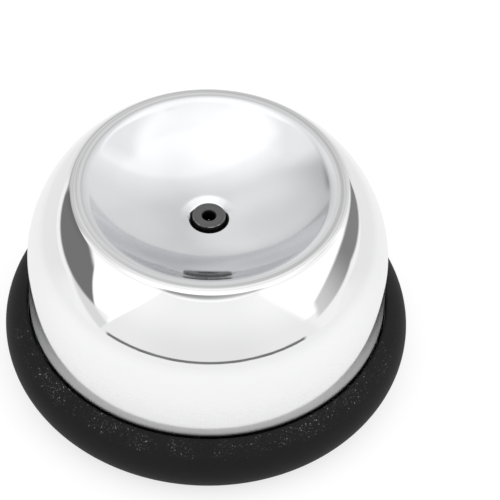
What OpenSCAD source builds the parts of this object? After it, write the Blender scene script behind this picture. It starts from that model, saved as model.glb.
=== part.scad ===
// Egg piercer: a steel dome with an egg dish slides down in a rubber-footed base
// against a spring, and a fixed needle comes out through the bush in the dish.
// Millimetres, origin at the centre of the foot, +Z up, dome at rest.

/* [Dome] */
// Outer radius of the dome's straight wall
wall_r = 26.3; // [26.2:0.05:26.4]
// Radius of the curve between the wall and the lip
shoulder_r = 19.6; // [19:0.1:20.5]
// Height at which the shoulder curve leaves the wall
shoulder_z = 18.9; // [18.3:0.1:19.5]
// Radius of the rolled lip round the dish
lip_r = 2.2; // [1.6:0.1:2.6]
// Radius of the egg dish, which is part of a sphere
dish_r = 26.5; // [25:0.1:29]
// Height of the bottom of that sphere
dish_z = 27.1; // [26.8:0.05:27.3]
// Thickness of the drawn steel sheet
sheet = 0.6; // [0.4:0.05:0.65]
// Width of the turned-out stop flange
flange_w = 0.8; // [0.6:0.05:0.9]
// How far the dome can be pressed down
travel = 4.5; // [3:0.1:4.6]

/* [Needle and bush] */
// Radius of the hole in the middle of the dish
hole_r = 2.5; // [2.48:0.02:2.6]
// Outer radius of the hole's turned-down edge
hole_edge_r = 0.72; // [0.7:0.01:0.85]
// Height of the bush's face above the foot
bush_z = 27.75; // [27.3:0.05:28]
// Radius of the bush's neck in the dish
neck_r = 2.42; // [2.3:0.02:2.46]
// Radius of the needle hole in the bush
needle_hole_r = 0.93; // [0.8:0.01:1]
// Radius of the needle
needle_r = 0.55; // [0.4:0.05:0.6]
// Depth of the needle's point below the bush's face
needle_depth = 0.95; // [0.6:0.05:1.2]
// Radius of the post that holds the needle
post_r = 2.5; // [2.2:0.05:2.6]

/* [Spring] */
// Radius of the spring wire
wire_r = 0.35; // [0.25:0.05:0.4]
// Radius of the spring to the middle of its wire
coil_r = 4.75; // [4.7:0.01:4.8]
// Number of turns in the spring
turns = 8.5; // [7.5:0.5:9.5]

/* [Base] */
// Outer radius of the rubber foot
foot_r = 30; // [29.8:0.1:30.6]
// Radius of the foot's rounded side
bulge_r = 5.6; // [5.4:0.05:5.7]
// Height of the widest part of the foot
bulge_z = 5.1; // [5:0.05:5.2]
// Gap between the dome's wall and the foot
slide_gap = 0.3; // [0.2:0.05:0.35]
// Number of ribs on the base plate
rib_count = 6; // [4:1:9]

/* [Hidden] */
$fn = 96;

// Small gap that keeps neighbouring faces from sharing the same place
ease = 0.05;
// Length that reaches past anything it cuts
past = 60;

// Heights of the base: rubber lip, plate and stop collar
plate_z = 1.6;
plate_t = 1.0;
plate_top = plate_z + plate_t;
collar_top = 8.9;
stop_t = 1.0;
stop_z = collar_top - stop_t;

// Radii of the base
seam_r = wall_r + slide_gap;
flange_r = wall_r + flange_w;
collar_bore_r = flange_r + 0.2;
collar_r = collar_bore_r + 0.7;
bead_h = 0.2;
foot_lip_r = 22.5;
foot_edge_r = 0.35;

// Centres of the arcs of the dome's section
shoulder_c = [wall_r - shoulder_r, shoulder_z];
dish_c = [0, dish_z + dish_r];
lip_c = meeting(shoulder_c, shoulder_r - lip_r, dish_c, dish_r + lip_r);
hole_edge_c = [hole_r + hole_edge_r, dish_c[1] - leg(dish_r + hole_edge_r, hole_r + hole_edge_r)];

// The turned-out flange at the dome's bottom edge
flange_top = stop_z - ease;
flange_z = flange_top - sheet;
bend_r = 0.25;

// Heights of the bush: the hole's turned edge sits on its flange
bush_seat_z = hole_edge_c[1] - 0.5;
bush_flange_t = 1.2;
bush_flange_z = bush_seat_z - bush_flange_t;
bush_flange_r = coil_r + wire_r + 0.1;
bush_chamfer = 0.08;
stem_r = coil_r - wire_r - 0.5;
stem_bore_r = post_r + 0.1;
stem_z = 12.5;
stem_ceiling_z = bush_flange_z - 0.7;

// The post, its foot, the screw under it and the needle in it
post_top = stem_ceiling_z - travel - 1.5;
post_foot_r = coil_r - wire_r - 0.2;
post_foot_t = 1.2;
needle_tip_z = bush_z - needle_depth;
needle_z = post_top - 7;
needle_point = 2.2;
screw_r = 1.2;
screw_len = 6;
screw_head_r = 2.8;
screw_head_t = 0.75;
hub_r = 6.5;
hub_z = 0.6;
hub_seat_z = hub_z + screw_head_t + 0.15;

// The spring stands on the plate inside a ring, and carries the bush's flange
spring_z = plate_top;
spring_len = bush_flange_z - spring_z;
seat_ring_r = coil_r + wire_r + 0.2;
seat_ring_w = 1.0;
rib_w = 1.2;
rib_h = 1.6;
rib_sink = 0.3;
rib_end_r = 24.2;
wire_sides = 8;
rings_per_turn = 16;

// Length of the other leg of a right triangle with this long side
function leg(long, short) = sqrt(long * long - short * short);

// The outer point that lies r1 from c1 and r2 from c2
function meeting(c1, r1, c2, r2) =
    let (
        d = norm(c2 - c1),
        u = (c2 - c1) / d,
        a = (r1 * r1 - r2 * r2 + d * d) / (2 * d)
    )
    c1 + a * u + leg(r1, a) * [u[1], -u[0]];

// Ring of square section between two radii and two heights, as a half section
module band(r_in, r_out, z_low, z_high) {
    translate([r_in, z_low]) square([r_out - r_in, z_high - z_low]);
}

// Disc of a section, centred on c
module arc_disc(c, r) {
    translate(c) circle(r);
}

// Half section of the solid dome, drawn in by the given depth from its outer face
module dome_section(inset) {
    to_shoulder = (lip_c - shoulder_c) / norm(lip_c - shoulder_c);
    to_dish = (dish_c - lip_c) / norm(dish_c - lip_c);
    difference() {
        union() {
            band(0, wall_r - inset, flange_z, shoulder_z);
            intersection() {
                arc_disc(shoulder_c, shoulder_r - inset);
                band(0, past, shoulder_z, past);
            }
        }
        arc_disc(dish_c, dish_r + inset);
        polygon([lip_c, lip_c + past * to_shoulder, lip_c + past * to_dish]);
    }
    arc_disc(lip_c, lip_r - inset);
}

// Half section of the stop flange with the bend that joins it to the wall
module flange_section() {
    outer_bend_r = bend_r + sheet;
    difference() {
        band(wall_r - sheet, flange_r, flange_z, flange_top + bend_r);
        band(wall_r + bend_r, past, flange_top, past);
        arc_disc([wall_r + bend_r, flange_top + bend_r], bend_r);
        difference() {
            band(0, wall_r + bend_r, 0, flange_top + bend_r);
            arc_disc([wall_r + bend_r, flange_top + bend_r], outer_bend_r);
            band(wall_r - sheet, past, flange_top + bend_r, past);
        }
    }
}

// Half section of the dish's turned-down hole edge
module hole_edge_section() {
    intersection() {
        difference() {
            union() {
                arc_disc(hole_edge_c, hole_edge_r);
                band(hole_r, hole_r + sheet, bush_seat_z, hole_edge_c[1]);
            }
            arc_disc(hole_edge_c, hole_edge_r - sheet);
            arc_disc(dish_c, dish_r);
        }
        union() {
            band(hole_r, hole_edge_c[0], hole_edge_c[1], past);
            band(hole_r, hole_r + sheet, bush_seat_z, hole_edge_c[1]);
        }
    }
}

// Drawn steel dome: wall, shoulder, rolled lip and dish in one sheet
module dome_shell() {
    color([0.86, 0.86, 0.87])
        rotate_extrude() {
            difference() {
                dome_section(0);
                dome_section(sheet);
                band(0, hole_edge_c[0], 0, past);
                band(0, past, 0, flange_top + bend_r);
            }
            flange_section();
            hole_edge_section();
        }
}

// Black bush: face with the needle hole, flange under the dish, stem that slides on the post
module needle_bush() {
    color([0.06, 0.06, 0.065])
        rotate_extrude()
            difference() {
                union() {
                    polygon([
                        [0, bush_flange_z], [neck_r, bush_flange_z], [neck_r, bush_z - bush_chamfer],
                        [neck_r - bush_chamfer, bush_z], [0, bush_z]
                    ]);
                    band(0, bush_flange_r, bush_flange_z, bush_seat_z);
                    band(0, stem_r, stem_z, bush_flange_z);
                }
                band(0, needle_hole_r, 0, past);
                band(0, stem_bore_r, 0, stem_ceiling_z);
                polygon([
                    [0, bush_z + ease], [needle_hole_r + 0.2 + ease, bush_z + ease],
                    [needle_hole_r, bush_z - 0.2], [0, bush_z - 0.2]
                ]);
            }
}

// Height of the wire's centre at turn t: the end turns are closer than the middle ones
end_pitch = 2 * wire_r + 0.5;
mid_pitch = (spring_len - 2 * wire_r - 2 * end_pitch) / (turns - 2);
function wire_height(t) =
    spring_z + wire_r + end_pitch * min(t, 1)
    + mid_pitch * min(max(t - 1, 0), turns - 2)
    + end_pitch * max(t - turns + 1, 0);

// Point on the wire's centre line at turn t
function wire_point(t) = [coil_r * cos(360 * t), coil_r * sin(360 * t), wire_height(t)];

spring_steps = turns * rings_per_turn;
spring_path = [for (i = [0 : spring_steps]) wire_point(i / rings_per_turn)];

// Least gap between the spring's turns, measured on the wire's own points
spring_gap = min([
    for (i = [0 : spring_steps - rings_per_turn], k = [-2 : 2])
        let (j = min(i + rings_per_turn + k, spring_steps))
        norm(spring_path[i] - spring_path[j])
]) - 2 * wire_r;

// Compression spring: one round wire swept along the coil
module return_spring() {
    points = [
        for (i = [0 : spring_steps])
            let (turn = 360 * i / rings_per_turn)
            for (s = [0 : wire_sides - 1])
                let (a = 360 * (s + 0.5) / wire_sides)
                spring_path[i] + wire_r * [cos(a) * cos(turn), cos(a) * sin(turn), sin(a)]
    ];
    last = spring_steps * wire_sides;
    skin = [
        for (i = [0 : spring_steps - 1], s = [0 : wire_sides - 1])
            let (
                p = i * wire_sides + s,
                q = i * wire_sides + (s + 1) % wire_sides
            )
            each [[p, p + wire_sides, q + wire_sides], [p, q + wire_sides, q]]
    ];
    caps = [
        for (s = [1 : wire_sides - 2])
            each [[0, s, s + 1], [last, last + s + 1, last + s]]
    ];
    color([0.55, 0.56, 0.58])
        polyhedron(points, concat(skin, caps));
    echo(str("least gap between the spring's turns: ", spring_gap, " mm"));
}

// Steel needle with a ground point
module needle() {
    color([0.7, 0.71, 0.73])
        rotate_extrude()
            polygon([
                [0, needle_z], [needle_r, needle_z], [needle_r, needle_tip_z - needle_point],
                [0.06, needle_tip_z], [0, needle_tip_z]
            ]);
}

// Turned brass post: holds the needle, and guides the bush's stem
module needle_post() {
    color([0.72, 0.58, 0.3])
        rotate_extrude()
            difference() {
                union() {
                    polygon([
                        [0, plate_top], [post_r, plate_top], [post_r, post_top - 0.4],
                        [post_r - 0.4, post_top], [0, post_top]
                    ]);
                    band(0, post_foot_r, plate_top, plate_top + post_foot_t);
                }
                band(0, screw_r, 0, hub_seat_z + screw_len);
                band(0, needle_r, needle_z, past);
            }
}

// Screw that holds the post to the plate from below, with a cross recess
module post_screw() {
    color([0.5, 0.5, 0.52])
        difference() {
            rotate_extrude() {
                band(0, screw_r, hub_seat_z - ease, hub_seat_z + screw_len - 0.5);
                polygon([
                    [0, hub_seat_z - screw_head_t], [screw_head_r - 0.5, hub_seat_z - screw_head_t],
                    [screw_head_r, hub_seat_z - screw_head_t + 0.4], [screw_head_r, hub_seat_z],
                    [0, hub_seat_z]
                ]);
            }
            for (turn = [0, 90])
                rotate(turn)
                    translate([-1.5, -0.3, hub_seat_z - screw_head_t - 1])
                        cube([3, 0.6, 1.45]);
        }
}

// Snap bead on the plate's edge, or with more room the groove that takes it
module snap_section(r, room) {
    middle = plate_z + plate_t / 2;
    polygon([
        [r - 0.1, middle - 0.25 - room], [r, middle - 0.25 - room],
        [r + bead_h + room, middle], [r, middle + 0.25 + room], [r - 0.1, middle + 0.25 + room]
    ]);
}

// Moulded plate that closes the base: screw hub, spring ring, ribs and snap edge
module base_plate() {
    edge_r = collar_bore_r - ease;
    seat_out_r = seat_ring_r + seat_ring_w;
    color([0.1, 0.1, 0.105]) {
        rotate_extrude()
            difference() {
                union() {
                    band(0, edge_r, plate_z, plate_top);
                    snap_section(edge_r, 0);
                    band(0, hub_r, hub_z, plate_top);
                    band(seat_ring_r, seat_out_r, plate_top, plate_top + rib_h);
                    band(rib_end_r - rib_w, rib_end_r, plate_top, plate_top + rib_h);
                }
                band(0, screw_r + 0.2, 0, past);
                band(0, screw_head_r + 0.4, 0, hub_seat_z);
            }
        for (i = [0 : rib_count - 1])
            rotate(360 * i / rib_count)
                translate([seat_out_r - rib_sink, -rib_w / 2, plate_top - rib_sink])
                    cube([rib_end_r - rib_w / 2 - seat_out_r, rib_w, rib_h]);
    }
}

// Hard collar inside the foot: its lip stops the dome's flange, its groove holds the plate
module stop_collar() {
    color([0.13, 0.13, 0.135])
        rotate_extrude()
            difference() {
                union() {
                    band(collar_bore_r, collar_r, plate_z, collar_top);
                    band(seam_r, collar_r, stop_z, collar_top);
                }
                snap_section(collar_bore_r, ease);
            }
}

// Rubber foot: bulged side, flat sole, channel that wraps the collar and the plate's edge
module foot_ring() {
    bulge_c = [foot_r - bulge_r, bulge_z];
    edge_x = seam_r + foot_edge_r;
    edge_c = [edge_x, bulge_z + leg(bulge_r - foot_edge_r, edge_x - bulge_c[0])];
    to_edge = (edge_c - bulge_c) / norm(edge_c - bulge_c);
    color([0.05, 0.05, 0.055])
        rotate_extrude() {
            difference() {
                arc_disc(bulge_c, bulge_r);
                band(0, past, -past, 0);
                band(0, foot_lip_r, 0, plate_z);
                band(0, seam_r, plate_z, past);
                band(0, collar_r, plate_z, collar_top);
                polygon([edge_c, edge_c + past * to_edge, [0, past], [0, edge_c[1]]]);
            }
            arc_disc(edge_c, foot_edge_r);
        }
}

dome_shell();
needle_bush();
return_spring();
needle();
needle_post();
post_screw();
base_plate();
stop_collar();
foot_ring();
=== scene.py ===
"""Egg piercer: a polished steel dome with an egg dish, on a black rubber foot.

The dome is pressed down against a spring, and a fixed needle comes out through the bush in its dish.
Every surface is a formula of two parameters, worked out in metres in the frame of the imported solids.
"""

import bpy
import numpy as np
from bpy.props import FloatProperty, FloatVectorProperty, IntProperty, PointerProperty
from bpy.types import Operator, Panel, PropertyGroup
from mathutils import Matrix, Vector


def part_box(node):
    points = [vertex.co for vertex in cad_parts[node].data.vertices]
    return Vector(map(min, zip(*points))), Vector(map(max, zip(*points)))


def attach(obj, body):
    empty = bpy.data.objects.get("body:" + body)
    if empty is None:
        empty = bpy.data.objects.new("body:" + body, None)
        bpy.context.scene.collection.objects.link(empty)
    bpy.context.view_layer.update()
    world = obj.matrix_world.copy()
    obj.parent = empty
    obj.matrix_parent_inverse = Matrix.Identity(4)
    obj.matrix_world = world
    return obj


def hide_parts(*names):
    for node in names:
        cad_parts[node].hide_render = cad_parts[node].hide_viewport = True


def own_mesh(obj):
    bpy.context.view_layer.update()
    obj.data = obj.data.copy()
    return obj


bl_info = {
    "name": "Egg piercer",
    "version": (1, 0, 0),
    "blender": (4, 5, 0),
    "location": "View3D > Sidebar > Egg piercer",
    "description": "Builds a sprung egg piercer with a steel dome and a rubber foot",
    "category": "Add Mesh",
}

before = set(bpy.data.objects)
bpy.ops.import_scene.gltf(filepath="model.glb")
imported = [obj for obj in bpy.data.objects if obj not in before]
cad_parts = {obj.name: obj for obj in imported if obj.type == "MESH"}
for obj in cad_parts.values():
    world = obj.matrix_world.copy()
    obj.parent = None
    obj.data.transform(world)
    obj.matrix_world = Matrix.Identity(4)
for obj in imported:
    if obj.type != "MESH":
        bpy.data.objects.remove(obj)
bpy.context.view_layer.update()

MM = 0.001
DEGREES = 180 / np.pi

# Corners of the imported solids, from which heights and outer radii are taken
DOME_LOW, DOME_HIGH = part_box("dome_shell")
BUSH_LOW, BUSH_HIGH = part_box("needle_bush")
SPRING_LOW, SPRING_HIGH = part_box("return_spring")
NEEDLE_LOW, NEEDLE_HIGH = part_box("needle")
POST_LOW, POST_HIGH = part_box("needle_post")
SCREW_LOW, SCREW_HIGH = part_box("post_screw")
PLATE_LOW, PLATE_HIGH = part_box("base_plate")
COLLAR_LOW, COLLAR_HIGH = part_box("stop_collar")
FOOT_LOW, FOOT_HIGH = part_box("foot_ring")

# Steps round the axis of a turned piece, and round one filleted edge
ROUND_STEPS = 240
EDGE_STEPS = 7
# Gap between a fillet and the point that keeps the side beside it flat, as a share of its radius
SUPPORT_SHARE = 0.35

# Places of the colour sockets on a Mix node
COLOUR_A, COLOUR_B, COLOUR_OUT = 6, 7, 2


def length(name, description, millimetres):
    """A size that the panel shows as a length, kept in metres."""
    return FloatProperty(
        name=name, description=description, default=millimetres * MM, min=0, unit="LENGTH", precision=5
    )


def colour(name, description, default):
    """A linear colour that the panel shows as a swatch."""
    return FloatVectorProperty(
        name=name, description=description, default=default, size=3, min=0, max=1, subtype="COLOR"
    )


def number(name, description, default):
    """A plain number."""
    return FloatProperty(name=name, description=description, default=default)


def group(kind, name, description):
    """The settings of one part of the object."""
    return PointerProperty(type=kind, name=name, description=description)


class DomeSizes(PropertyGroup):
    """Sizes of the drawn steel dome."""

    wall_radius: length("Wall radius", "Outside of the straight wall", 26.3)
    shoulder_radius: length("Shoulder radius", "Curve from wall to lip", 19.6)
    shoulder_height: length("Shoulder height", "Top of the wall", 18.9)
    lip_radius: length("Lip radius", "Rolled lip round the dish", 2.2)
    dish_radius: length("Dish radius", "Sphere of the egg dish", 26.5)
    dish_height: length("Dish height", "Bottom of that sphere", 27.1)
    sheet: length("Sheet", "Thickness of the steel", 0.6)
    edge_bulge: length("Edge bulge", "How far its edges are rounded out", 0.1)
    hole_radius: length("Hole radius", "Hole in the dish", 2.5)
    hole_edge_radius: length("Hole edge radius", "Turned-down edge of the hole", 0.72)
    hole_edge_drop: length("Hole edge drop", "Straight part of that edge", 0.5)
    bend_radius: length("Bend radius", "Bend above the stop flange", 0.25)
    dip_depth: length("Dip depth", "Dip beside the hole", 0.32)
    dip_radius: length("Dip radius", "Where that dip starts", 4.15)


class BushSizes(PropertyGroup):
    """Sizes of the bush in the dish."""

    neck_radius: length("Neck radius", "Part in the dish's hole", 2.42)
    chamfer: length("Chamfer", "Bevel round the face", 0.08)
    needle_hole_radius: length("Needle hole", "Radius of the needle's hole", 0.93)
    flange_thickness: length("Flange thickness", "Flange under the dish", 1.2)
    stem_radius: length("Stem radius", "Sleeve on the post", 3.9)
    bore_radius: length("Bore radius", "Bore of the sleeve", 2.6)
    groove_depth: length("Groove depth", "Turning grooves on the face", 0.015)
    groove_pitch: length("Groove pitch", "Step between grooves", 0.2)


class SpringSizes(PropertyGroup):
    """Sizes of the compression spring."""

    wire_radius: length("Wire radius", "Radius of the wire", 0.35)
    end_pitch: length("End pitch", "Rise of the first and last turn", 1.2)
    turns: FloatProperty(name="Turns", description="Number of turns", default=8.5, min=3)


class PostSizes(PropertyGroup):
    """Sizes of the needle, its post and the screw under it."""

    needle_point: length("Needle point", "Length of the ground point", 2.2)
    post_radius: length("Post radius", "Part that guides the sleeve", 2.5)
    screw_radius: length("Screw radius", "Outside of the thread", 1.2)
    screw_core: length("Screw core", "Bottom of the thread", 0.93)
    screw_pitch: length("Screw pitch", "Rise in one turn", 0.5)


class BaseSizes(PropertyGroup):
    """Sizes of the plate and the collar inside the foot."""

    plate_bottom: length("Plate bottom", "Underside of the plate", 1.6)
    plate_thickness: length("Plate thickness", "Thickness of the plate", 1.0)
    hub_radius: length("Hub radius", "Boss round the screw", 6.5)
    spring_ring: length("Spring ring", "Inside of the ring round the spring", 5.3)
    outer_ring: length("Outer ring", "Outside of the ring round the ribs", 24.2)
    ring_height: length("Ring height", "Height of both rings", 1.6)
    rib_width: length("Rib width", "Thickness of a rib", 1.2)
    rib_count: IntProperty(name="Ribs", description="Number of ribs", default=6, min=3)
    collar_bore: length("Collar bore", "Inside of the collar", 27.3)
    stop_bore: length("Stop bore", "Inside of its stop lip", 26.6)
    bead: length("Snap bead", "Bead that holds the plate", 0.2)


class FootSizes(PropertyGroup):
    """Sizes of the rubber foot."""

    bulge_radius: length("Bulge radius", "Rounded side of the foot", 5.6)
    bulge_height: length("Bulge height", "Height of the widest part", 5.1)
    sole_radius: length("Sole radius", "Inside of the sole", 22.5)
    edge_radius: length("Edge radius", "Edge beside the dome", 0.35)


class Finishes(PropertyGroup):
    """Colours of the finishes."""

    steel: colour("Steel", "Outside of the dome", (0.88, 0.88, 0.885))
    # Painted shade: the lip's steel is painted darker than the wall's.
    shaded_lip_steel: colour("Lip steel", "Rolled lip", (0.62, 0.62, 0.625))
    # Painted shade: the dish's steel is painted darker than the wall's; its roughness is the same as the
    # wall's.
    shaded_dish_steel: colour("Dish steel", "Dish, which is polished less", (0.665, 0.67, 0.685))
    worn_dish: colour("Worn dish", "Duller clouds in the dish", (0.625, 0.63, 0.645))
    rubber: colour("Rubber", "Black of the foot", (0.0075, 0.0075, 0.008))
    # Dust colour; it also paints a faint sheen on the foot's top.
    dust: colour("Dust", "Dust on the rubber", (0.42, 0.42, 0.45))
    bush_face: colour("Bush face", "Turned face of the bush", (0.105, 0.105, 0.107))
    # Painted highlight: a bright edge painted on the front of the face's rim.
    painted_edge_highlight: colour("Bush edge", "Bright edge of that face", (0.4, 0.4, 0.4))
    # Painted shade: the sides are painted near black, far darker than the face.
    shaded_bush_side: colour("Bush side", "Sides of the bush", (0.003, 0.003, 0.003))
    wire: colour("Wire", "Drawn spring wire", (0.5, 0.5, 0.52))
    needle: colour("Needle", "Ground needle", (0.88, 0.88, 0.89))
    brass: colour("Brass", "Turned post", (0.72, 0.57, 0.29))
    zinc: colour("Zinc", "Plated screw", (0.55, 0.55, 0.56))
    plastic: colour("Plastic", "Plate and collar", (0.02, 0.02, 0.021))


class StageSizes(PropertyGroup):
    """Camera and floor."""

    distance: length("Distance", "Camera to the middle of the foot", 386.461)
    elevation: number("Elevation", "Camera above the floor, in degrees", 50.483)
    pan: number("Pan", "Turn to the right, in degrees", 0.942)
    tilt: number("Tilt", "Turn upwards, in degrees", 2.009)
    roll: number("Roll", "Turn about the view, in degrees", 1.401)
    lens: number("Lens", "Focal length in millimetres", 183.359)
    floor_front: length("Floor in front", "Reach towards the camera", 122)
    floor_far: length("Floor elsewhere", "Reach at the sides and behind", 420)


class PiercerSettings(PropertyGroup):
    """All sizes and colours of the egg piercer."""

    dome: group(DomeSizes, "Dome", "Drawn steel dome")
    bush: group(BushSizes, "Bush", "Bush in the dish")
    spring: group(SpringSizes, "Spring", "Return spring")
    post: group(PostSizes, "Post", "Needle, post and screw")
    base: group(BaseSizes, "Base", "Plate and collar")
    foot: group(FootSizes, "Foot", "Rubber foot")
    finishes: group(Finishes, "Finishes", "Colours")
    stage: group(StageSizes, "Stage", "Camera and floor")


# Sections: points of radius and height

def unit(vectors):
    """Vectors scaled to length one."""
    return vectors / np.linalg.norm(vectors, axis=-1, keepdims=True)


def bearing(vector):
    """Angle of a section vector from the radius axis, in degrees."""
    return np.degrees(np.arctan2(vector[1], vector[0]))


def leg(long_side, short_side):
    """Other leg of a right triangle: the root of long squared less short squared."""
    return np.sqrt(long_side**2 - short_side**2)


def eased(share):
    """Smooth step of a share s, cut off at 0 and 1: s s (3 - 2 s)."""
    share = np.clip(share, 0, 1)
    return share * share * (3 - 2 * share)


def arc(centre, radius, start, stop, count, hollow=False):
    """Arc centre + radius (cos, sin) between two angles in degrees, and its normals.

    The normals point away from the centre, or towards it on a hollow arc.
    """
    angle = np.radians(np.linspace(start, stop, count))
    away = np.stack([np.cos(angle), np.sin(angle)], axis=1)
    return centre + radius * away, -away if hollow else away


def straight(start, stop, normal, count):
    """Evenly spaced points from start to stop, with one normal for all of them."""
    return np.linspace(start, stop, count), np.tile(normal, (count, 1))


def rounded(corners, hundredths, closed=True):
    """Polygon with filleted corners, whose radii are given in hundredths of a millimetre.

    Each corner becomes an arc whose centre lies on the bisector, radius over the sine of the half angle
    away. A support point beyond each end of the arc keeps the sides flat in shading. An open outline keeps
    its two end points.
    """
    corners = np.asarray(corners, float)
    radii = np.broadcast_to(hundredths, len(corners))[:, None] * 0.01 * MM
    back = unit(np.roll(corners, 1, axis=0) - corners)
    ahead = unit(np.roll(corners, -1, axis=0) - corners)
    half = 0.5 * np.arccos(np.clip(np.sum(back * ahead, axis=1, keepdims=True), -1, 1))
    reach = radii / np.tan(half)
    centre = corners + unit(back + ahead) * radii / np.sin(half)
    first = corners + back * reach - centre
    last = corners + ahead * reach - centre
    begin = np.arctan2(first[:, 1:], first[:, :1])
    turn = np.arctan2(last[:, 1:], last[:, :1]) - begin
    turn = (turn + np.pi) % (2 * np.pi) - np.pi
    angle = begin + turn * np.linspace(0, 1, EDGE_STEPS)
    bow = centre[:, None] + radii[:, None] * np.stack([np.cos(angle), np.sin(angle)], axis=2)
    support = reach + SUPPORT_SHARE * radii
    lead = (corners + back * support)[:, None]
    tail = (corners + ahead * support)[:, None]
    outline = np.concatenate([lead, bow, tail], axis=1)
    if closed:
        return outline.reshape(-1, 2)
    return np.vstack([corners[:1], outline[1:-1].reshape(-1, 2), corners[-1:]])


def sheet_section(points, normals, thickness, bulge):
    """Closed section of a sheet: the outer curve, the same curve moved in by the thickness, and rounded ends.

    An end is half an ellipse, as high as the sheet is thick and standing out by the bulge.
    """
    inner = points - thickness * normals
    share = np.linspace(0, np.pi, EDGE_STEPS + 2)[1:-1, None]

    def end(at, beyond):
        middle = 0.5 * (points[at] + inner[at])
        out = unit(points[at] - points[beyond])
        return middle + 0.5 * thickness * np.cos(share) * normals[at] + bulge * np.sin(share) * out

    return np.vstack([points, end(-1, -2), inner[::-1], end(0, 1)[::-1]])


# Surfaces: grids of points in metres

def full_turn(steps):
    """Evenly spaced angles of one turn."""
    return np.linspace(0, 2 * np.pi, steps, endpoint=False)


def round_grid(radius, angle, height):
    """Grid of points (r cos a, r sin a, z), by rings and columns."""
    return np.stack(np.broadcast_arrays(radius * np.cos(angle), radius * np.sin(angle), height), axis=2)


def quads_of(rows, columns, wrap_rows):
    """Quads between neighbouring rows of a grid whose columns go all round, and whose rows may do so too."""
    row = np.arange(rows if wrap_rows else rows - 1)[:, None]
    column = np.arange(columns)
    next_row = (row + 1) % rows
    next_column = (column + 1) % columns
    corners = [(row, column), (row, next_column), (next_row, next_column), (next_row, column)]
    return np.stack([(r * columns + c).ravel() for r, c in corners], axis=1)


def fan(ring, pole):
    """Triangles from a closed ring of vertices to one pole."""
    return np.stack([ring, np.roll(ring, -1), np.full(len(ring), pole)], axis=1)


def ring_of(grid):
    """Points and faces of a grid that closes on itself both ways."""
    return grid.reshape(-1, 3), [quads_of(*grid.shape[:2], True)]


def tube_of(grid, low_pole, high_pole):
    """Points and faces of a tube of rings with a pole below its first ring and one above its last."""
    rows, columns = grid.shape[:2]
    first = np.arange(columns)
    last = (rows - 1) * columns + first
    points = np.vstack([grid.reshape(-1, 3), low_pole, high_pole])
    low, high = len(points) - 2, len(points) - 1
    return points, [quads_of(rows, columns, False), fan(first[::-1], low), fan(last, high)]


def turned(outline, steps=ROUND_STEPS):
    """Surface of revolution: (r cos a, r sin a, z) for each point of the outline and each angle a.

    An outline that starts and ends on the axis is closed there by poles, and any other is a closed loop.
    Both run anticlockwise, with the radius to the right and the height up.
    """
    on_axis = np.allclose(outline[[0, -1], 0], 0)
    rings = outline[1:-1] if on_axis else outline
    grid = round_grid(rings[:, :1], full_turn(steps), rings[:, 1:])
    return tube_of(grid, (0, 0, outline[0, 1]), (0, 0, outline[-1, 1])) if on_axis else ring_of(grid)


def add_mesh(name, points, faces, material):
    """New object of one mesh and one material."""
    mesh = bpy.data.meshes.new(name)
    mesh.from_pydata(points.tolist(), [], [face for part in faces for face in part.tolist()])
    mesh.materials.append(material)
    made = bpy.data.objects.new(name, mesh)
    bpy.context.scene.collection.objects.link(made)
    return made


def add_piece(name, surface, material, body, node, sharp_angle=50):
    """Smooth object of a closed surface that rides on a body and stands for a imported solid."""
    piece = add_mesh(name, *surface, material)
    piece.data.polygons.foreach_set("use_smooth", np.ones(len(piece.data.polygons), bool))
    piece.data.set_sharp_from_angle(angle=np.radians(sharp_angle))
    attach(piece, body)
    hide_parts(node)
    return piece


# Shader expressions

def math_node(operation, reflected=False):
    """Method of a socket that adds one Math node. The reflected form puts the other value first."""

    def method(self, other=0.0):
        first, second = (other, self) if reflected else (self, other)
        return self.tree.node("ShaderNodeMath", {0: first, 1: second}, operation=operation)

    return method


class Socket:
    """A value in a node tree. Arithmetic on it adds Math nodes."""

    __add__, __radd__ = math_node("ADD"), math_node("ADD", True)
    __sub__, __rsub__ = math_node("SUBTRACT"), math_node("SUBTRACT", True)
    __mul__, __rmul__ = math_node("MULTIPLY"), math_node("MULTIPLY", True)
    __gt__ = math_node("GREATER_THAN")
    root = math_node("SQRT")
    arcsine = math_node("ARCSINE")
    size = math_node("ABSOLUTE")
    bearing_from = math_node("ARCTAN2")
    at_most = math_node("MINIMUM")

    def __init__(self, tree, link):
        self.tree = tree
        self.link = link

    def also(self, name):
        """Another output of the same node."""
        return Socket(self.tree, self.link.node.outputs[name])

    def rise(self, low, high):
        """Smooth step from 0 at low to 1 at high."""
        values = {"Value": self, "From Min": low, "From Max": high}
        return self.tree.node("ShaderNodeMapRange", values, interpolation_type="SMOOTHSTEP")

    def within(self, low, high, soft):
        """1 between low and high, falling to 0 over the soft width on both sides."""
        return self.rise(low - soft, low + soft) * (1 - self.rise(high - soft, high + soft))

    def towards(self, other, share):
        """Blend of two values: this one at share 0, the other at share 1."""
        return self + (other - self) * share


def opaque(value):
    """A colour with its alpha. A socket stays as it is."""
    return value if isinstance(value, Socket) else (*value, 1.0)


def toned(value, share):
    """A colour made darker or paler by a share."""
    return tuple(share * part for part in value)


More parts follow.
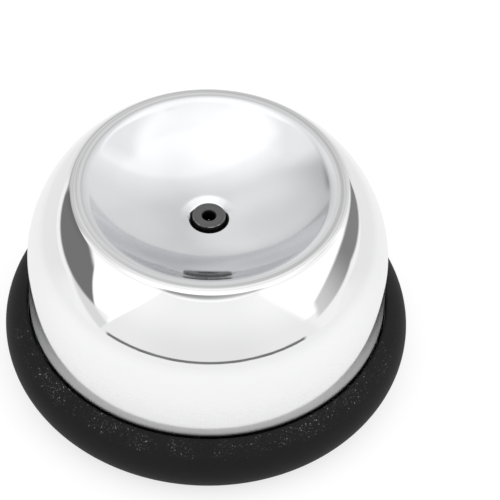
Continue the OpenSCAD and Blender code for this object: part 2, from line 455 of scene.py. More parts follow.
class NodeTree:
    """A node tree that is written as expressions."""

    def __init__(self, owner):
        owner.use_nodes = True
        self.owner = owner
        self.nodes = owner.node_tree.nodes
        self.links = owner.node_tree.links
        self.nodes.clear()

    def node(self, kind, values, output=0, **settings):
        """New node: its settings first, then the values or links of its sockets. Gives one of its outputs."""
        made = self.nodes.new(kind)
        for name, value in settings.items():
            setattr(made, name, value)
        for name, value in values.items():
            if isinstance(value, Socket):
                self.links.new(value.link, made.inputs[name])
            else:
                made.inputs[name].default_value = value
        return Socket(self, made.outputs[output])

    def split(self, vector):
        """The three values of a vector."""
        x = self.node("ShaderNodeSeparateXYZ", {"Vector": vector}, "X")
        return x, x.also("Y"), x.also("Z")

    def joined(self, x, y, z):
        """Vector of three values."""
        return self.node("ShaderNodeCombineXYZ", {"X": x, "Y": y, "Z": z})

    def grey(self, value):
        """A value as a grey colour."""
        return self.joined(value, value, value)

    def noise(self, vector, grain, detail=2.0, roughness=0.5):
        """Noise from 0 to 1 whose lumps are about one grain across, in metres."""
        values = {"Vector": vector, "Scale": 1 / grain, "Detail": detail, "Roughness": roughness}
        return self.node("ShaderNodeTexNoise", values)

    def mix(self, first, second, share):
        """Blend of two colours."""
        values = {"Factor": share, COLOUR_A: opaque(first), COLOUR_B: opaque(second)}
        return self.node("ShaderNodeMix", values, COLOUR_OUT, data_type="RGBA")

    def bump(self, height, depth):
        """Normal of a height from 0 to 1, which stands for a depth in metres."""
        return self.node("ShaderNodeBump", {"Strength": 1.0, "Distance": depth, "Height": height})

    def camera_ray(self):
        """1 on rays straight from the camera."""
        return self.node("ShaderNodeLightPath", {}, "Is Camera Ray")

    def seen_ray(self):
        """1 on rays that look at a surface, straight, in a reflection or through glass."""
        ray = self.camera_ray()
        return ray + ray.also("Is Glossy Ray") + ray.also("Is Transmission Ray")

    def ends_in(self, kind, shader):
        """Adds the tree's output node, and gives the material or world that has the tree."""
        made = self.nodes.new(kind)
        self.links.new(shader.link, made.inputs["Surface"])
        return self.owner

    def principled(self, sockets):
        """Ends the tree in one principled surface with these sockets, and gives its material."""
        return self.ends_in("ShaderNodeOutputMaterial", self.node("ShaderNodeBsdfPrincipled", sockets))


def material_tree(name):
    """Node tree of a new material, with its object coordinates as a vector and as three values."""
    tree = NodeTree(bpy.data.materials.new(name))
    vector = tree.node("ShaderNodeTexCoord", {}, "Object")
    return tree, vector, *tree.split(vector)


def from_axis(x, y):
    """Distance from the object's axis."""
    return (x * x + y * y).root()


def polished_steel(dome, finishes):
    """Mirror-polished steel: polishing lines round the axis, a lined lip and a dish painted darker than the
    wall as painted shade, duller clouds in the dish and a satin rim.

    Fine upright scuffs stand low on the wall, and fade out upwards.
    """
    tree, vector, x, y, z = material_tree("polished_steel")
    radius = from_axis(x, y)
    dish_end, lip_begin = 17.9 * MM, 18.5 * MM
    lip_end, outside_begin = 19.2 * MM, 20.6 * MM
    rim_begin, rim_end, rim_fade = 14 * MM, 17.6 * MM, 0.7 * MM
    foot_edge, scuff_begin, scuff_full = 9.9 * MM, 10.9 * MM, 11 * MM
    scratch_squeeze = 0.012

    round_axis = tree.joined(radius, z, 0.0)
    lines = tree.noise(round_axis, 0.09 * MM, 3.0)
    haze = tree.noise(vector, 9 * MM, 3.0)
    clouds = tree.noise(vector, 12 * MM, 2.0).rise(0.35, 0.65)
    waves = tree.noise(vector, 12 * MM, 1.0)
    scratches = tree.noise(tree.joined(x, y, z * scratch_squeeze), 0.2 * MM, 2.0)
    rubbed = z.rise(foot_edge, scuff_begin) * (1 - z.rise(scuff_full, dome.shoulder_height))
    scuffs = 0.62 * rubbed * (0.93 + 0.14 * scratches)
    on_lip = radius.rise(dish_end, lip_begin)
    satin_rim = 0.14 * radius.within(rim_begin, rim_end, rim_fade)
    outside = radius.rise(lip_end, outside_begin)
    # Painted shade: the dish steel is painted darker than the wall's, so the dish's reflections show dimmer.
    # The clouds in it are random duller patches.
    dish = tree.mix(finishes.shaded_dish_steel, finishes.worn_dish, clouds)
    grooves = tree.noise(round_axis, 0.3 * MM, 1.0).rise(0.4, 0.6)
    # Painted shade: the lip steel is painted darker still, so the lip's reflections show dim. Its grooves are
    # real turned lines.
    lip = tree.mix(finishes.shaded_lip_steel, toned(finishes.shaded_lip_steel, 0.82), grooves)
    inside = tree.mix(dish, lip, on_lip)
    return tree.principled({
        "Base Color": tree.mix(inside, finishes.steel, outside),
        "Metallic": 1 - scuffs - satin_rim,
        "Roughness": 0.07 - 0.058 * on_lip + 0.012 * haze + 0.01 * lines + 0.15 * scuffs,
        "Normal": tree.bump(lines * 0.05 + waves, 0.012 * MM),
    })


def foot_rubber(finishes):
    """Matte black rubber: fine grain, pale specks of dust that gather near the dome, and a faint pale film on
    the top that is partly dust and partly painted sheen.
    """
    tree, vector, x, y, z = material_tree("foot_rubber")
    # Dusty stretches, in degrees from the front, and how dusty each is
    stretches = ((-76, -12, 1.0), (-12, 24, 0.4), (24, 72, 0.7))
    stretch_fade = 12
    dust_low, dust_high = 7.8 * MM, 8.8 * MM

    def specks(size, share):
        """Round specks in a share of the cells of one size."""
        cells = tree.node("ShaderNodeTexVoronoi", {"Vector": vector, "Scale": 1 / size}, feature="F1")
        lot = tree.node("ShaderNodeTexWhiteNoise", {"Vector": cells.also("Position")})
        return (1 - cells.rise(0.18, 0.34)) * (lot > 1 - share)

    grain = tree.noise(vector, 0.16 * MM, 3.0, 0.6)
    patches = tree.noise(vector, 4 * MM, 2.0).rise(0.4, 0.6)
    around = x.bearing_from(-1 * y) * DEGREES
    sides = sum(dusty * around.within(start, stop, stretch_fade) for start, stop, dusty in stretches)
    where = z.rise(dust_low, dust_high) * sides * (0.15 + 0.85 * patches)
    dust = where * (0.35 * specks(0.2 * MM, 0.36) + 0.7 * specks(0.34 * MM, 0.2))
    # Faint pale film on the top of the foot: partly dust, partly painted sheen.
    dust_and_sheen = where * grain.rise(0.45, 0.75) * 0.045
    return tree.principled({
        "Base Color": tree.mix(finishes.rubber, finishes.dust, dust + dust_and_sheen),
        "Roughness": 0.55 + 0.2 * grain,
        "Specular IOR Level": 0.16,
        "Normal": tree.bump(grain, 0.03 * MM),
    })


def bush_plastic(bush, finishes):
    """Black plastic whose face is a grey satin with rings and a painted highlight on its front edge, with
    sides painted near black as painted shade.
    """
    tree, vector, x, y, z = material_tree("bush_plastic")
    radius = from_axis(x, y)
    rim = bush.neck_radius - bush.chamfer
    rim_reach, rim_fade = 0.05 * MM, 0.03 * MM
    side_depth, face_depth = 0.07 * MM, 0.025 * MM

    rings = tree.noise(tree.joined(radius, 0.0, 0.0), 0.3 * MM, 2.0)
    smear = tree.noise(vector, 0.6 * MM, 3.0)
    face = z.rise(BUSH_HIGH.z - side_depth, BUSH_HIGH.z - face_depth)
    # Painted highlight: the bright edge is painted on the front half of the face's rim only.
    front = 1 - y.rise(-1.6 * MM, 0.4 * MM)
    edge = radius.within(rim - rim_reach, rim + rim_reach, rim_fade) * smear.rise(0.3, 0.6) * front
    satin = tree.mix(finishes.bush_face, finishes.painted_edge_highlight, edge)
    tone = face * (0.1 + 1.4 * rings + 0.35 * smear)
    return tree.principled({
        # The sides' near black, under the grey face, is painted shade.
        "Base Color": tree.mix(finishes.shaded_bush_side, satin, tone),
        "Roughness": 0.35 + 0.15 * rings,
        "Specular IOR Level": 0.2,
        "Normal": tree.bump(rings * face, 0.012 * MM),
    })


def drawn_metal(name, base, roughness):
    """Metal with lines along its drawing or grinding direction and a cloudy sheen."""
    tree, vector, x, y, z = material_tree(name)
    lines = tree.noise(tree.joined(from_axis(x, y), z, 0.0), 0.06 * MM, 2.0)
    cloud = tree.noise(vector, 1.5 * MM, 3.0)
    return tree.principled({
        "Base Color": tree.mix(base, toned(base, 0.78), cloud.rise(0.35, 0.7)),
        "Metallic": 1.0,
        "Roughness": roughness + 0.12 * cloud,
        "Normal": tree.bump(lines, 0.006 * MM),
    })


def base_plastic(finishes):
    """Black moulded plastic with a fine spark-eroded texture and faint flow marks."""
    tree, vector, *_ = material_tree("base_plastic")
    grain = tree.noise(vector, 0.2 * MM, 2.0, 0.6)
    flow = tree.noise(vector, 5 * MM, 2.0)
    return tree.principled({
        "Base Color": tree.mix(finishes.plastic, toned(finishes.plastic, 1.7), flow),
        "Roughness": 0.42 + 0.2 * grain,
        "Normal": tree.bump(grain, 0.02 * MM),
    })


# Pieces

def circles_meeting(first, first_radius, second, second_radius):
    """The outer of the two points that lie at given distances from two centres."""
    gap = np.linalg.norm(second - first)
    along = (second - first) / gap
    share = (first_radius**2 - second_radius**2 + gap**2) / (2 * gap)
    return first + share * along + leg(first_radius, share) * np.array([along[1], -along[0]])


def hole_edge(dome):
    """Centre of the hole's turned-down edge, which touches the dish from below, and the height it ends at."""
    radius = dome.hole_radius + dome.hole_edge_radius
    drop = leg(dome.dish_radius + dome.hole_edge_radius, radius)
    height = dome.dish_height + dome.dish_radius - drop
    return np.array([radius, height]), height - dome.hole_edge_drop


def dome_outline(dome):
    """Outer curve of the dome's sheet and its normals, from the hole in the dish to the stop flange.

    Straight lines and arcs follow each other without a kink: turned-down hole edge, dish, rolled lip,
    shoulder, straight wall, bend and flange. The dish's points are closer round the hole, where it dips.
    """
    shoulder = np.array([dome.wall_radius - dome.shoulder_radius, dome.shoulder_height])
    dish = np.array([0.0, dome.dish_height + dome.dish_radius])
    lip = circles_meeting(
        shoulder, dome.shoulder_radius - dome.lip_radius, dish, dome.dish_radius + dome.lip_radius
    )
    hole, seat = hole_edge(dome)
    flange_top = DOME_LOW.z + dome.sheet
    bend = np.array([dome.wall_radius, flange_top]) + dome.bend_radius
    past_dip = dome.dip_radius + 0.6 * MM
    dip_end = -90 + np.degrees(np.arcsin(past_dip / dome.dish_radius))
    lip_stop = bearing(lip - shoulder)
    stretches = [
        straight((dome.hole_radius, seat), (dome.hole_radius, hole[1]), (-1, 0), 4),
        arc(hole, dome.hole_edge_radius, 180, bearing(dish - hole), 14),
        arc(dish, dome.dish_radius, bearing(hole - dish), dip_end, 24, hollow=True),
        arc(dish, dome.dish_radius, dip_end, bearing(lip - dish), 52, hollow=True),
        arc(lip, dome.lip_radius, bearing(dish - lip), lip_stop, 26),
        arc(shoulder, dome.shoulder_radius, lip_stop, 0, 52),
        straight((dome.wall_radius, dome.shoulder_height), (dome.wall_radius, bend[1]), (1, 0), 10),
        arc(bend, dome.bend_radius, 180, 270, 8, hollow=True),
        straight((bend[0], flange_top), (DOME_HIGH.x - dome.edge_bulge, flange_top), (0, 1), 3),
    ]
    return [np.vstack([part[min(i, 1):] for i, part in enumerate(parts)]) for parts in zip(*stretches)]


def dome_surface(dome):
    """The dome's sheet section turned about the axis, with a dip that punching left beside the hole.

    The dip falls in a straight slope with a soft start, u / 2 + root(u u + k k) / 2 of the share u of its
    width. It lies on the far side, and fades out round the hole and down its turned edge.
    """
    points, faces = turned(sheet_section(*dome_outline(dome), dome.sheet, dome.edge_bulge)[::-1])
    x, y, z = points.T
    _, seat = hole_edge(dome)
    radius = np.hypot(x, y)
    slope_width = dome.dip_radius - dome.hole_radius - 0.4 * MM
    softness = 0.12
    turn, spread = np.radians(15), 0.6
    fade_height = 0.9 * MM
    u = (dome.dip_radius - radius) / slope_width
    slope = np.minimum(0.5 * u + 0.5 * np.hypot(u, softness), 1)
    far = eased(np.sin(np.arctan2(y, x) - turn) / spread)
    in_dish = radius < 2 * dome.dip_radius
    above = np.clip((z - seat) / fade_height, 0, 1) * in_dish
    points[:, 2] -= dome.dip_depth * slope * above * far
    return points, faces


def bush_surface(bush, dome):
    """Turned bush: face with turning grooves, neck, flange under the dish and a sleeve with a stepped bore.

    The grooves are a cosine wave across the face, one groove depth deep.
    """
    face, flange = BUSH_HIGH.z, BUSH_HIGH.x
    mouth, ceiling_thickness, margin = 0.2 * MM, 0.7 * MM, 0.12 * MM
    _, seat = hole_edge(dome)
    flange_low = seat - bush.flange_thickness
    ceiling = flange_low - ceiling_thickness
    hole = bush.needle_hole_radius
    face_start = hole + mouth
    face_end = bush.neck_radius - bush.chamfer
    corners = [
        (hole, ceiling), (hole, face - mouth), (face_start, face),
        (face_end, face), (bush.neck_radius, face - bush.chamfer),
        (bush.neck_radius, seat), (flange, seat), (flange, flange_low),
        (bush.stem_radius, flange_low), (bush.stem_radius, BUSH_LOW.z),
        (bush.bore_radius, BUSH_LOW.z), (bush.bore_radius, ceiling),
    ]
    outline = rounded(corners, [8, 5, 5, 5, 5, 5, 15, 15, 15, 20, 20, 15])
    reach = np.arange(face_start + margin, face_end - margin, 0.125 * bush.groove_pitch)
    wave = 0.5 - 0.5 * np.cos(2 * np.pi * (reach - reach[0]) / bush.groove_pitch)
    grooves = np.stack([reach, face - bush.groove_depth * wave], axis=1)
    before_face = 3 * (EDGE_STEPS + 2)
    return turned(np.vstack([outline[:before_face], grooves, outline[before_face:]])[::-1])


def spring_surface(spring):
    """Round wire swept along a coil.

    The centre line is (c cos 2 pi t, c sin 2 pi t, h(t)) at turn t, where h rises by the end pitch in the
    first and last turn and evenly between. The wire closes in a dome of half its radius at both ends.
    """
    steps_a_turn, wire_sides, end_steps = 72, 20, 4
    least_swell = 0.2
    wire = spring.wire_radius
    low, high = SPRING_LOW.z + wire, SPRING_HIGH.z - wire
    turn = np.linspace(0, spring.turns, int(spring.turns * steps_a_turn))
    angle = 2 * np.pi * turn
    outward = np.stack([np.cos(angle), np.sin(angle), 0 * angle], axis=1)
    line = (SPRING_HIGH.x - wire) * outward
    line[:, 2] = np.interp(
        turn,
        [0, 1, spring.turns - 1, spring.turns],
        [low, low + spring.end_pitch, high - spring.end_pitch, high],
    )
    along = unit(np.gradient(line, axis=0))
    across = np.cross(along, outward)
    closing = np.linspace(-np.pi / 2, 0, end_steps, endpoint=False)
    bow = np.concatenate([closing, 0 * turn, -closing[::-1]])[:, None]
    which = np.clip(np.arange(len(bow)) - end_steps, 0, len(turn) - 1)
    middle = line[which] + 0.5 * wire * np.sin(bow) * along[which]
    swell = wire * np.maximum(np.cos(bow), least_swell)
    side = full_turn(wire_sides)[:, None]
    ring = np.cos(side) * outward[which][:, None] + np.sin(side) * across[which][:, None]
    return tube_of(middle[:, None] + swell[:, None] * ring, middle[0], middle[-1])


def needle_surface(post):
    """Turned needle: a straight shank, a ground taper and a small round tip."""
    radius, tip = NEEDLE_HIGH.x, 0.06 * MM
    corners = [
        (0, NEEDLE_LOW.z), (radius, NEEDLE_LOW.z), (radius, NEEDLE_HIGH.z - post.needle_point),
        (tip, NEEDLE_HIGH.z), (0, NEEDLE_HIGH.z),
    ]
    return turned(rounded(corners, [10, 10, 120, 4, 4], closed=False), 64)


def post_surface(post):
    """Turned post: foot on the plate, chamfered top, needle hole above and screw hole below."""
    needle = NEEDLE_HIGH.x
    foot, top = POST_HIGH.x, POST_HIGH.z
    foot_thickness, screw_room, chamfer = 1.2 * MM, 0.5 * MM, 0.4 * MM
    ledge = POST_LOW.z + foot_thickness
    screw_top = SCREW_HIGH.z + screw_room
    corners = [
        (0, screw_top), (post.screw_radius, screw_top), (post.screw_radius, POST_LOW.z),
        (foot, POST_LOW.z), (foot, ledge), (post.post_radius, ledge),
        (post.post_radius, top - chamfer), (post.post_radius - chamfer, top),
        (needle, top), (needle, NEEDLE_LOW.z), (0, NEEDLE_LOW.z),
    ]
    return turned(rounded(corners, [5, 10, 10, 15, 15, 20, 8, 8, 8, 5, 5], closed=False), 120)


def screw_surface(post):
    """Screw: a disc grid for the recessed head face, then rings for the head's side and the threaded shank.

    The thread's radius is the core plus a triangle wave of height z over pitch less angle over a full turn,
    which fades out at both ends. The recess is a cross of two arms whose edges fall away smoothly.
    """
    angle = full_turn(96)
    head, low = SCREW_HIGH.x, SCREW_LOW.z
    head_thickness, bevel_width, bevel_height = 0.75 * MM, 0.5 * MM, 0.4 * MM
    seat = low + head_thickness
    face_radius = head - bevel_width
    arm_reach, arm_half_width = 1.5 * MM, 0.3 * MM
    recess_depth, recess_edge, recess_slope = 0.45 * MM, 1.12, 0.24
    end_fade, head_fade = 0.8 * MM, 0.5 * MM

    def arm(along, across):
        """How far out a point lies in an arm of the cross: 1 on its edge."""
        return np.maximum(np.abs(along) / arm_reach, np.abs(across) / arm_half_width)

    radius = face_radius * np.linspace(1, 0.02, 40)[:, None]
    x, y = radius * np.cos(angle), radius * np.sin(angle)
    sunk = eased((recess_edge - np.minimum(arm(x, y), arm(y, x))) / recess_slope)
    face = round_grid(radius, angle, low + recess_depth * sunk)
    side = rounded(
        [(face_radius, low), (head, low + bevel_height), (head, seat), (post.screw_core, seat)],
        [5, 12, 8, 8], closed=False,
    )[1:]
    belt = round_grid(side[:, :1], angle, side[:, 1:])
    height = np.linspace(seat + 0.05 * MM, SCREW_HIGH.z, 150)[:, None]
    phase = (height / post.screw_pitch - angle / (2 * np.pi)) % 1
    ridge = np.clip(1.6 * (1 - np.abs(2 * phase - 1)) - 0.3, 0, 1)
    fade = np.clip((SCREW_HIGH.z - height) / end_fade, 0, 1) * np.clip((height - seat) / head_fade, 0, 1)
    reach = post.screw_core + (post.screw_radius - post.screw_core) * ridge * fade
    rings = np.concatenate([face[::-1], belt, round_grid(reach, angle, height)])
    return tube_of(rings, (0, 0, low + recess_depth), (0, 0, SCREW_HIGH.z))


def plate_surface(base):
    """Moulded plate: its section turned about the axis, with ribs raised between the two rings.

    A rib's edges run parallel, so at radius r its half angle is the arc sine of half its width over r. The
    grid's columns follow those angles, and on a rib the height is the larger of the section and the rib.
    """
    top = base.plate_bottom + base.plate_thickness
    edge = PLATE_HIGH.x - base.bead
    middle = base.plate_bottom + 0.5 * base.plate_thickness
    bore, seat_radius, seat_depth = 1.4 * MM, 3.2 * MM, 0.9 * MM
    ring_wall, rib_drop, draft, bead_reach = 1 * MM, 0.3 * MM, 0.06 * MM, 0.25 * MM
    seat = PLATE_LOW.z + seat_depth
    inner = base.spring_ring + ring_wall
    outer = base.outer_ring - base.rib_width
    ring_top = top + base.ring_height
    corners = [
        (bore, seat), (seat_radius, seat), (seat_radius, PLATE_LOW.z),
        (base.hub_radius, PLATE_LOW.z), (base.hub_radius + draft, base.plate_bottom),
        (edge, base.plate_bottom), (edge, middle - bead_reach), (PLATE_HIGH.x, middle),
        (edge, middle + bead_reach), (edge, top), (base.outer_ring + draft, top),
        (base.outer_ring, ring_top), (outer, ring_top), (outer - draft, top), (inner + draft, top),
        (inner, ring_top), (base.spring_ring, ring_top), (base.spring_ring - draft, top),
        (bore, top),
    ]
    section = rounded(corners, [8, 8, 15, 20, 25, 8, 3, 3, 3, 8, 20, 15, 15, 20, 20, 15, 15, 8, 8])
    radius, height = section[:, :1], section[:, 1:]
    rib_columns, plain_columns = 5, 22
    rib_flank, margin = 0.1 * MM, 0.02 * MM
    sector = 2 * np.pi / base.rib_count
    half = np.arcsin(0.5 * base.rib_width / np.maximum(radius, base.rib_width))
    skirt = half + rib_flank / radius
    plain = skirt + (sector - 2 * skirt) * np.linspace(0, 1, plain_columns)
    columns = np.concatenate([np.linspace(-1, 1, rib_columns) * half, plain], axis=1)
    on_rib = np.arange(columns.shape[1]) < rib_columns
    upper_side = height > middle + 0.3 * MM
    between = (radius > inner - margin) & (radius < outer + margin) & upper_side
    raised = np.where(between & on_rib, np.maximum(height, ring_top - rib_drop), height)
    turn = np.arange(base.rib_count) * sector
    angle = (columns[:, None, :] + turn[None, :, None]).reshape(len(section), -1)
    return ring_of(round_grid(radius, angle, np.tile(raised, (1, base.rib_count))))


def collar_surface(base):
    """Turned collar: a thin wall with the groove for the plate's bead, and the stop lip at its top."""
    low, high = COLLAR_LOW.z, COLLAR_HIGH.z
    wall, bore = COLLAR_HIGH.x, base.collar_bore
    stop_thickness, groove_reach = 1 * MM, 0.3 * MM
    stop = high - stop_thickness
    middle = base.plate_bottom + 0.5 * base.plate_thickness
    corners = [
        (bore, low), (wall, low), (wall, high), (base.stop_bore, high), (base.stop_bore, stop), (bore, stop),
        (bore, middle + groove_reach), (bore + base.bead, middle), (bore, middle - groove_reach),
    ]
    return turned(rounded(corners, [10, 10, 15, 15, 10, 8, 4, 4, 4]))


def foot_surface(foot, base):
    """Turned rubber foot: bulged side, flat sole and a channel that wraps the collar and the plate's edge.

    The side is one arc up to the small edge arc beside the dome, and the channel's corners are filleted.
    """
    bulge = np.array([FOOT_HIGH.x - foot.bulge_radius, foot.bulge_height])
    edge_x = base.stop_bore + foot.edge_radius
    edge = np.array([edge_x, bulge[1] + leg(foot.bulge_radius - foot.edge_radius, edge_x - bulge[0])])
    sole = FOOT_LOW.z
    sole_edge = leg(foot.bulge_radius, bulge[1])
    sole_turn, sole_gap = 6, 0.2 * MM
    side_start = bearing((sole_edge, -bulge[1])) + sole_turn
    side, _ = arc(bulge, foot.bulge_radius, side_start, bearing(edge - bulge), 60)
    beside, _ = arc(edge, foot.edge_radius, bearing(edge - bulge), 180, 12)
    channel = rounded(
        [
            beside[-1], (base.stop_bore, COLLAR_HIGH.z), (COLLAR_HIGH.x, COLLAR_HIGH.z),
            (COLLAR_HIGH.x, COLLAR_LOW.z), (foot.sole_radius, COLLAR_LOW.z), (foot.sole_radius, sole),
            (bulge[0] + sole_edge - sole_gap, sole),
        ],
        [10, 12, 12, 12, 25, 25, 10], closed=False,
    )
    return turned(np.vstack([side, beside[1:], channel[1:]]))


# Operators

class PIERCER_OT_dome(Operator):
    """Make the drawn steel dome with its egg dish"""

    bl_idname = "piercer.dome"
    bl_label = "Steel dome"

    def execute(self, context):
        piercer = context.scene.egg_piercer
        add_piece(
            "steel_dome", dome_surface(piercer.dome), polished_steel(piercer.dome, piercer.finishes),
            "dome", "dome_shell",
        )
        return {"FINISHED"}


class PIERCER_OT_bush(Operator):
    """Make the black bush that the needle comes through"""

    bl_idname = "piercer.bush"
    bl_label = "Needle bush"

    def execute(self, context):
        piercer = context.scene.egg_piercer
        add_piece(
            "turned_bush", bush_surface(piercer.bush, piercer.dome),
            bush_plastic(piercer.bush, piercer.finishes), "dome", "needle_bush",
        )
        return {"FINISHED"}


class PIERCER_OT_spring(Operator):
    """Make the return spring, which shortens as the dome is pressed"""

    bl_idname = "piercer.spring"
    bl_label = "Return spring"

    def execute(self, context):
        piercer = context.scene.egg_piercer
        spring = add_piece(
            "coil_spring", spring_surface(piercer.spring),
            drawn_metal("spring_wire", piercer.finishes.wire, 0.26), "base", "return_spring",
        )
        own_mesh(spring)
        return {"FINISHED"}


class PIERCER_OT_needle(Operator):
    """Make the needle, the post that holds it and the screw under the post"""

    bl_idname = "piercer.needle"
    bl_label = "Needle, post and screw"

    def execute(self, context):
        piercer = context.scene.egg_piercer
        post, finishes = piercer.post, piercer.finishes
        add_piece(
            "ground_needle", needle_surface(post), drawn_metal("needle_steel", finishes.needle, 0.05),
            "base", "needle",
        )
        add_piece(
            "brass_post", post_surface(post), drawn_metal("post_brass", finishes.brass, 0.22),
            "base", "needle_post",
        )
        add_piece(
            "cross_screw", screw_surface(post), drawn_metal("screw_steel", finishes.zinc, 0.3),
            "base", "post_screw", sharp_angle=35,
        )
        return {"FINISHED"}


class PIERCER_OT_base(Operator):
    """Make the ribbed plate and the hard collar of the base"""

    bl_idname = "piercer.base"
    bl_label = "Plate and collar"

    def execute(self, context):
        piercer = context.scene.egg_piercer
        plastic = base_plastic(piercer.finishes)
        add_piece("ribbed_plate", plate_surface(piercer.base), plastic, "base", "base_plate")
        add_piece("stop_ring", collar_surface(piercer.base), plastic, "base", "stop_collar")
        return {"FINISHED"}


class PIERCER_OT_foot(Operator):
    """Make the rubber foot"""

    bl_idname = "piercer.foot"
    bl_label = "Rubber foot"

    def execute(self, context):
        piercer = context.scene.egg_piercer
        add_piece(
            "rubber_foot", foot_surface(piercer.foot, piercer.base), foot_rubber(piercer.finishes),
            "base", "foot_ring",
        )
        return {"FINISHED"}


# Stage

def add_camera(stage):
    """Camera in front at an elevation, aimed at the middle of the foot, then panned, tilted and rolled."""
    rise = np.radians(stage.elevation)
    pose = Matrix.Translation((0, -stage.distance * np.cos(rise), stage.distance * np.sin(rise)))
    turns = ((90 - stage.elevation, "X"), (-stage.pan, "Y"), (stage.tilt, "X"), (stage.roll, "Z"))
    for turn, axis in turns:
        pose = pose @ Matrix.Rotation(np.radians(turn), 4, axis)
    lens = bpy.data.cameras.new("photo_camera")
    lens.lens = stage.lens
    lens.clip_start = 10 * MM
    camera = bpy.data.objects.new("photo_camera", lens)
    camera.matrix_world = pose
    bpy.context.scene.collection.objects.link(camera)
    bpy.context.scene.camera = camera


def floor_finish():
    """White floor that keeps the object's shadow, and fades to plain white away from it.

    Near the object a share of the white comes from the light. Mirrored, the floor is a little darker, most
    of all behind the object.
    """
    tree, _, x, y, _ = material_tree("pale_floor")
    shadow_end, white_begin = 60 * MM, 105 * MM
    behind = y.rise(-25 * MM, 25 * MM)
    lit_share = 0.28
    lit_tint, plain_tint = 3 * (0.34,), 3 * (0.85,)

    far = from_axis(x, y).rise(shadow_end, white_begin)
    mirrored = 1 - tree.camera_ray()
    level = 1 - mirrored * (0.03 + 0.08 * behind)
    white = tree.node("ShaderNodeEmission", {"Color": tree.grey(level)})
    glow = tree.node("ShaderNodeEmission", {"Color": tree.grey(level - lit_share)})
    tint = tree.node("ShaderNodeBsdfDiffuse", {"Color": opaque(lit_tint)})
    near = tree.node("ShaderNodeAddShader", {0: glow, 1: tint})
    shown = tree.node("ShaderNodeMixShader", {0: far, 1: near, 2: white})
    plain = tree.node("ShaderNodeBsdfDiffuse", {"Color": opaque(plain_tint)})
    shader = tree.node("ShaderNodeMixShader", {0: tree.seen_ray(), 1: plain, 2: shown})
    return tree.ends_in("ShaderNodeOutputMaterial", shader)


def add_floor(stage):
    """Flat floor just under the sole: a disc whose rim is near in front and swings out elsewhere.

    The rim's radius goes from the front reach to the far one by a smooth step of the angle from the front.
    """
    swing_start, swing_width = 72, 22
    gap = 0.05 * MM
    angle = full_turn(ROUND_STEPS)
    from_front = np.degrees(np.arccos(-np.sin(angle)))
    swing = eased((from_front - swing_start) / swing_width)
    rim = stage.floor_front + (stage.floor_far - stage.floor_front) * swing
    level = FOOT_LOW.z - gap
    points = np.vstack([round_grid(rim[None], angle, level)[0], (0, 0, level)])
    add_mesh("pale_floor", points, [fan(np.arange(ROUND_STEPS), ROUND_STEPS)], floor_finish())


def lit_room(x, y, z, aside, height):
    """Brightness of the room: a large light overhead, a wall that is paler on the right, and a pale floor.

    A light or card is a soft step of how far the direction reaches along an axis, their dot product.
    """

    def along(axis, low, high):
        return (axis[0] * x + axis[1] * y + axis[2] * z).rise(low, high)

    overhead = along((-0.498, -0.169, 0.85), 0.514, 1.813) * along((-0.279, 0.868, 0.407), -0.59, 0.064)
    patch = along((-0.379, 0.747, 0.555), 0.836, 0.97)
    card = along((0.35, -1, 0.4), -0.277, 0.66)
    card_edge = along((0.336, -0.92, 0.2), 0.01, 0.08)
    wall = 0.864 + 0.291 * x - 0.02 * z + 0.27 * patch + 0.46 * card + 0.12 * card_edge
    glow = wall.towards(2.6, overhead).at_most(1.8)
    sides = (1 - aside.rise(100, 115)) * (1 - height.rise(42, 52))
    glow = glow.towards(1.25, sides)
    low_wall = y.rise(0.55, 0.75) * (1 - height.rise(5.4, 7.4))
    glow = glow.towards(0.7 + 0.25 * x, low_wall)
    floor = aside.rise(55, 59) * (1 - height.rise(-0.5, 1.5))
    return glow.towards(1.0, floor)


def side_flags(glow, azimuth, height):
    """Dark flags at both sides, from the horizon up to an arch, a parabola of the azimuth from its middle."""
    from_left = azimuth + 100
    from_right = azimuth - 94
    shade_left = azimuth.within(-90, -56, 3) * (height + 9 + 0.45 * (azimuth + 60)).within(-5, 5, 2)
    glow = glow.towards(0.78, shade_left)

    left_edge = 1 - (azimuth + 88 - 0.65 * (31 - height)).rise(-1.2, 1.2)
    left_top = (25 - 0.012 * from_left * from_left - height).rise(-2, 3)
    flag_left = azimuth.rise(-135, -128) * left_edge * height.rise(-1.5, 1) * left_top
    glow = glow.towards(0.19, flag_left)

    right_low = (height - (0.5 - 0.15 * (azimuth - 100).size())).rise(-1.2, 1.2)
    right_top = (14.5 - 0.009 * from_right * from_right - height).rise(-1.5, 1.5)
    flag_right = azimuth.rise(64, 69) * right_low * right_top
    return glow.towards(0.7 - 0.45 * azimuth.rise(66, 104), flag_right)


def front_panel(glow, azimuth, aside, height):
    """Pale panel in front with slanting sides, a grey strip above it and a dark line at its foot."""
    panel_left = (azimuth + 43 + 0.5 * (23 - height)).rise(-0.8, 0.8)
    panel_right = 1 - (azimuth - 49 - 0.5 * (21 - height)).rise(-4, 3)
    panel = panel_left * panel_right * (1 - height.rise(39.5, 41))
    glow = glow.towards(0.87 + 0.13 * height.rise(-5, 32) + 0.06 * aside.rise(15, 45), panel)
    strip = azimuth.within(-36, 44, 8) * height.within(42, 51, 2)
    glow = glow.towards(0.42 + 0.25 * azimuth.rise(-10, 45), strip)
    line = (1 - aside.rise(55, 58)) * (1 - height.rise(-12.4, -11.8))
    return glow.towards(0.2, line)


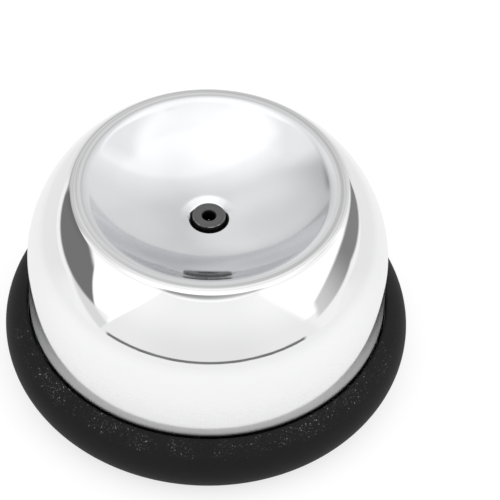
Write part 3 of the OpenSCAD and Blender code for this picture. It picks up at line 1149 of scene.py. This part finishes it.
def add_surroundings():
    """Studio round the object, by azimuth from the camera's side and by elevation, in degrees.

    The camera itself sees plain white, and rays that only light the object find it a little darker.
    """
    world = bpy.data.worlds.new("studio")
    bpy.context.scene.world = world
    tree = NodeTree(world)
    x, y, z = tree.split(tree.node("ShaderNodeTexCoord", {}, "Generated"))
    azimuth = x.bearing_from(-1 * y) * DEGREES
    height = z.arcsine() * DEGREES
    aside = azimuth.size()
    glow = lit_room(x, y, z, aside, height)
    glow = side_flags(glow, azimuth, height)
    glow = front_panel(glow, azimuth, aside, height)
    glow = glow * (0.88 + 0.12 * tree.seen_ray())
    glow = glow.towards(1.0, tree.camera_ray())
    tree.ends_in("ShaderNodeOutputWorld", tree.node("ShaderNodeBackground", {"Color": tree.grey(glow)}))


class PIERCER_OT_stage(Operator):
    """Make the camera, the floor and the studio round the object"""

    bl_idname = "piercer.stage"
    bl_label = "Stage"

    def execute(self, context):
        stage = context.scene.egg_piercer.stage
        context.scene.view_settings.view_transform = "Standard"
        add_camera(stage)
        add_floor(stage)
        add_surroundings()
        return {"FINISHED"}


class PIERCER_PT_panel(Panel):
    """Lists the pieces and their sizes"""

    bl_idname = "PIERCER_PT_panel"
    bl_label = "Egg piercer"
    bl_space_type = "VIEW_3D"
    bl_region_type = "UI"
    bl_category = "Egg piercer"

    def draw(self, context):
        layout = self.layout
        for operator in OPERATORS:
            layout.operator(operator.bl_idname)
        piercer = context.scene.egg_piercer
        for part in PiercerSettings.__annotations__:
            box = layout.box()
            box.label(text=part.capitalize())
            settings = getattr(piercer, part)
            for name in settings.__annotations__:
                box.prop(settings, name)


OPERATORS = (
    PIERCER_OT_stage, PIERCER_OT_dome, PIERCER_OT_bush, PIERCER_OT_spring, PIERCER_OT_needle,
    PIERCER_OT_base, PIERCER_OT_foot,
)
CLASSES = (
    DomeSizes, BushSizes, SpringSizes, PostSizes, BaseSizes, FootSizes, Finishes, StageSizes, PiercerSettings,
    *OPERATORS, PIERCER_PT_panel,
)


def register():
    """Adds the settings, the operators and the panel."""
    for cls in CLASSES:
        bpy.utils.register_class(cls)
    bpy.types.Scene.egg_piercer = PointerProperty(
        type=PiercerSettings, name="Egg piercer", description="Sizes and colours of the egg piercer"
    )


def unregister():
    """Takes them away again."""
    del bpy.types.Scene.egg_piercer
    for cls in reversed(CLASSES):
        bpy.utils.unregister_class(cls)


def main():
    """Builds the stage and every piece."""
    register()
    bpy.ops.piercer.stage()
    bpy.ops.piercer.dome()
    bpy.ops.piercer.bush()
    bpy.ops.piercer.spring()
    bpy.ops.piercer.needle()
    bpy.ops.piercer.base()
    bpy.ops.piercer.foot()


if __name__ == "__main__":
    main()
